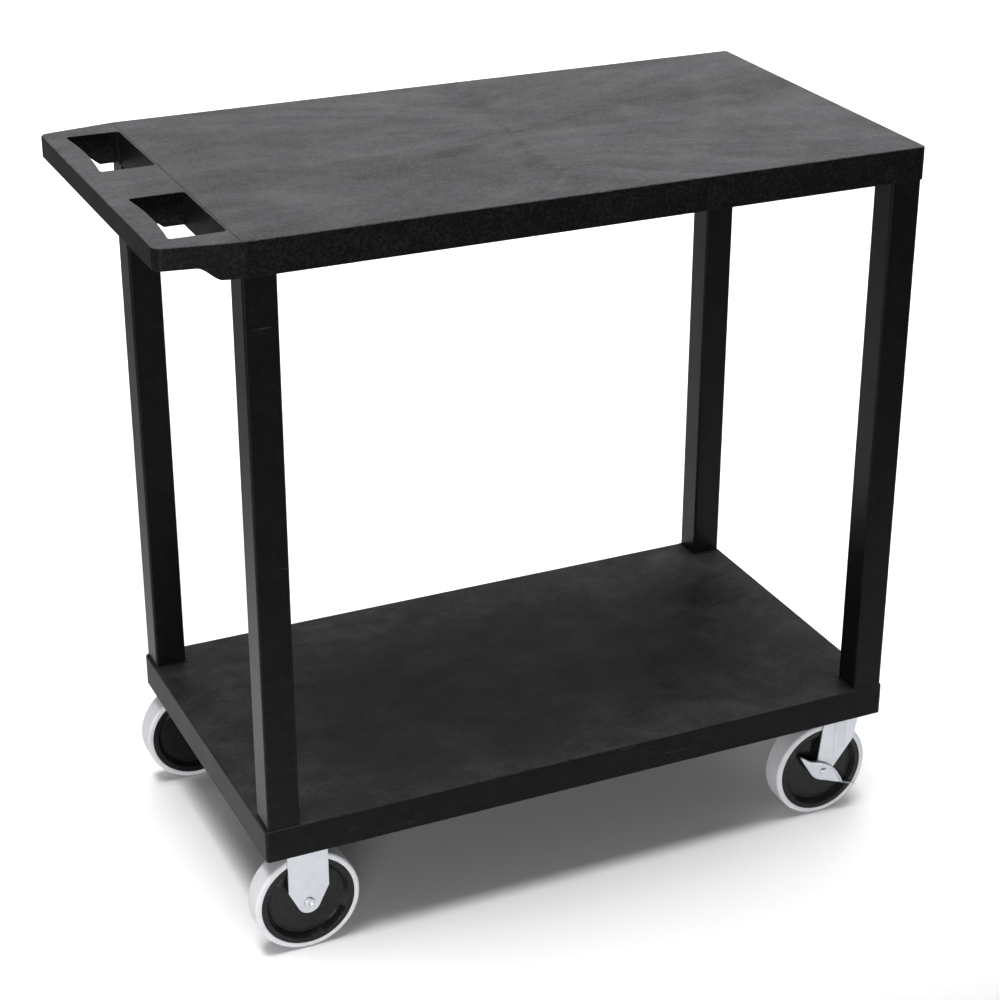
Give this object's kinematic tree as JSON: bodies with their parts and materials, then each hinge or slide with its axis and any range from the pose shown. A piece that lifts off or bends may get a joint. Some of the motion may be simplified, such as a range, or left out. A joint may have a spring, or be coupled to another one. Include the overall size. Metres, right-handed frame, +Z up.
{
  "type": "utility cart",
  "caption": "Flat-deck utility cart with upper and lower shelves on square legs, a handle cut into one end, rigid casters under it and braked swivel casters at the other end.",
  "frame": {"origin": "centre of the footprint on the floor, wheels resting on z = 0", "axes": "+Z up, +X along the deck away from the handle, -Y the right side for someone at the handle"},
  "size_m": [0.8954, 0.4572, 0.866],
  "materials": {
    "shelf_top_plastic": "satin moulded polyolefin with flow marks",
    "shelf_low_plastic": "satin moulded polyolefin",
    "leg_plastic": "satin extruded plastic",
    "plug_plastic": "moulded",
    "screw_steel": "zinc plated",
    "frame_zinc": "bright zinc plated pressed steel",
    "bolt_steel": "zinc plated",
    "ball_steel": "polished",
    "core_plastic": "semi-gloss moulded",
    "tread_rubber": "non-marking soft tread"
  },
  "bodies": {
    "cart": {"top_shelf": "shelf_top_plastic", "lower_shelf": "shelf_low_plastic", "leg_rear_right": "leg_plastic", "leg_rear_left": "leg_plastic", "leg_front_right": "leg_plastic", "leg_front_left": "leg_plastic", "leg_plug_rear_right": "plug_plastic", "leg_plug_rear_left": "plug_plastic", "leg_plug_front_right": "plug_plastic", "leg_plug_front_left": "plug_plastic", "leg_screws": "screw_steel", "caster_screws": "screw_steel", "rigid_bracket_right": "frame_zinc", "rigid_axle_bolt_right": "bolt_steel", "rigid_axle_nut_right": "bolt_steel", "rigid_axle_sleeve_right": "bolt_steel", "swivel_plate_right": "frame_zinc", "swivel_kingpin_right": "bolt_steel", "rigid_bracket_left": "frame_zinc", "rigid_axle_bolt_left": "bolt_steel", "rigid_axle_nut_left": "bolt_steel", "rigid_axle_sleeve_left": "bolt_steel", "swivel_plate_left": "frame_zinc", "swivel_kingpin_left": "bolt_steel"},
    "rear_wheel_right": {"rear_wheel_core_right": "core_plastic", "rear_wheel_tread_right": "tread_rubber"},
    "swivel_right": {"swivel_race_cup_right": "frame_zinc", "swivel_balls_right": "ball_steel", "swivel_fork_right": "frame_zinc", "swivel_axle_bolt_right": "bolt_steel", "swivel_axle_nut_right": "bolt_steel", "swivel_axle_sleeve_right": "bolt_steel", "brake_shoe_right": "bolt_steel"},
    "front_wheel_right": {"front_wheel_core_right": "core_plastic", "front_wheel_tread_right": "tread_rubber"},
    "brake_right": {"brake_pedal_right": "frame_zinc", "brake_cam_right": "bolt_steel"},
    "rear_wheel_left": {"rear_wheel_core_left": "core_plastic", "rear_wheel_tread_left": "tread_rubber"},
    "swivel_left": {"swivel_race_cup_left": "frame_zinc", "swivel_balls_left": "ball_steel", "swivel_fork_left": "frame_zinc", "swivel_axle_bolt_left": "bolt_steel", "swivel_axle_nut_left": "bolt_steel", "swivel_axle_sleeve_left": "bolt_steel", "brake_shoe_left": "bolt_steel"},
    "front_wheel_left": {"front_wheel_core_left": "core_plastic", "front_wheel_tread_left": "tread_rubber"},
    "brake_left": {"brake_pedal_left": "frame_zinc", "brake_cam_left": "bolt_steel"}
  },
  "joints": [
    {"name": "rear_wheel_spin_right", "type": "hinge", "parent": "cart", "child": "rear_wheel_right", "pos_m": [-0.316, -0.2065, 0.0635], "axis": [0, 1, 0], "continuous": true},
    {"name": "swivel_turn_right", "type": "hinge", "parent": "cart", "child": "swivel_right", "pos_m": [0.394, -0.2045, 0.135], "axis": [0, 0, 1], "continuous": true},
    {"name": "front_wheel_spin_right", "type": "hinge", "parent": "swivel_right", "child": "front_wheel_right", "pos_m": [0.371, -0.2045, 0.0635], "axis": [0, 1, 0], "continuous": true},
    {"name": "brake_press_right", "type": "hinge", "parent": "swivel_right", "child": "brake_right", "pos_m": [0.371, -0.2045, 0.0635], "axis": [0, -1, 0], "range_deg": [0, 30]},
    {"name": "rear_wheel_spin_left", "type": "hinge", "parent": "cart", "child": "rear_wheel_left", "pos_m": [-0.316, 0.2065, 0.0635], "axis": [0, 1, 0], "continuous": true},
    {"name": "swivel_turn_left", "type": "hinge", "parent": "cart", "child": "swivel_left", "pos_m": [0.394, 0.2045, 0.135], "axis": [0, 0, 1], "continuous": true},
    {"name": "front_wheel_spin_left", "type": "hinge", "parent": "swivel_left", "child": "front_wheel_left", "pos_m": [0.371, 0.2045, 0.0635], "axis": [0, 1, 0], "continuous": true},
    {"name": "brake_press_left", "type": "hinge", "parent": "swivel_left", "child": "brake_left", "pos_m": [0.371, 0.2045, 0.0635], "axis": [0, -1, 0], "range_deg": [0, 30]}
  ]
}
